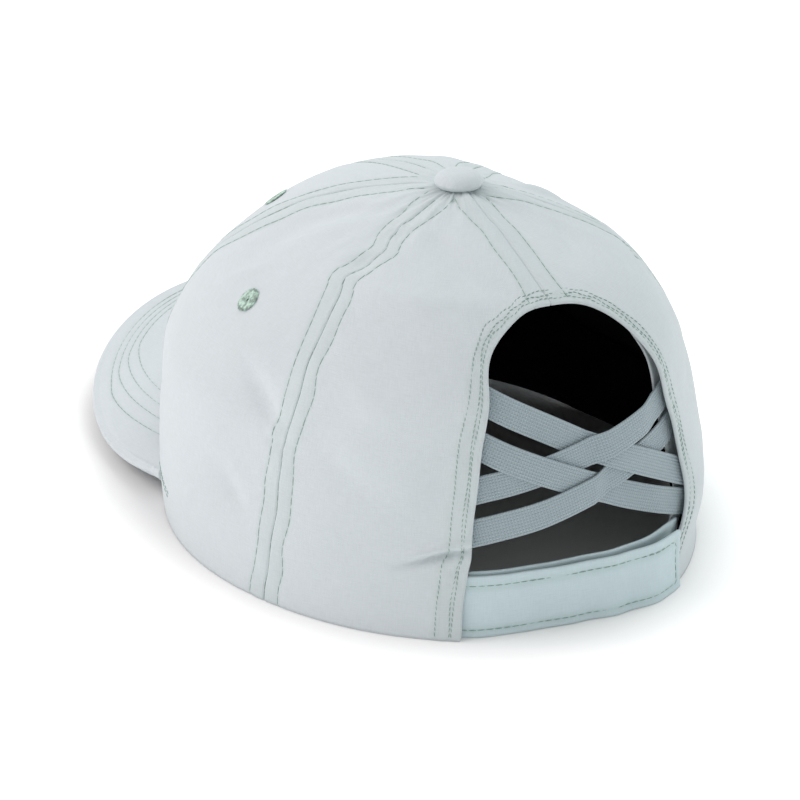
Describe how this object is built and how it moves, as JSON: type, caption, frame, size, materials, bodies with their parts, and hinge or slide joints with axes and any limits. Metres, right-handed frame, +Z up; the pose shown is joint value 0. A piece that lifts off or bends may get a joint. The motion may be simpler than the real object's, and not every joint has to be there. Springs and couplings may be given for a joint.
{
  "type": "ponytail baseball cap",
  "caption": "Cloth baseball cap with an arched brim, a domed crown and an arched back opening crossed by woven elastic bands above a hook-and-loop strap.",
  "frame": {"origin": "under the middle of the cap's bounding box, on the surface that the rim and brim stand on", "axes": "+Z up, -Y forward over the brim, +X to the wearer's left"},
  "size_m": [0.1722, 0.2626, 0.1156],
  "materials": {
    "cloth": "matte",
    "lining": "matte",
    "elastic": "matte",
    "thread": "satin"
  },
  "bodies": {
    "root": {"panel_front_left": "cloth", "panel_side_left": "cloth", "panel_back_left": "cloth", "panel_front_right": "cloth", "panel_side_right": "cloth", "panel_back_right": "cloth", "lining": "lining", "sweatband": "lining", "opening_facing": "cloth", "elastic_band_1": "elastic", "elastic_band_2": "elastic", "elastic_band_3": "elastic", "elastic_band_4": "elastic", "closure_strap": "cloth", "closure_tab": "cloth", "closure_fastener": "cloth", "brim": "cloth", "top_button": "cloth", "eyelet_front_left": "thread", "eyelet_front_right": "thread", "eyelet_side_left": "thread", "eyelet_side_right": "thread"}
  },
  "joints": []
}
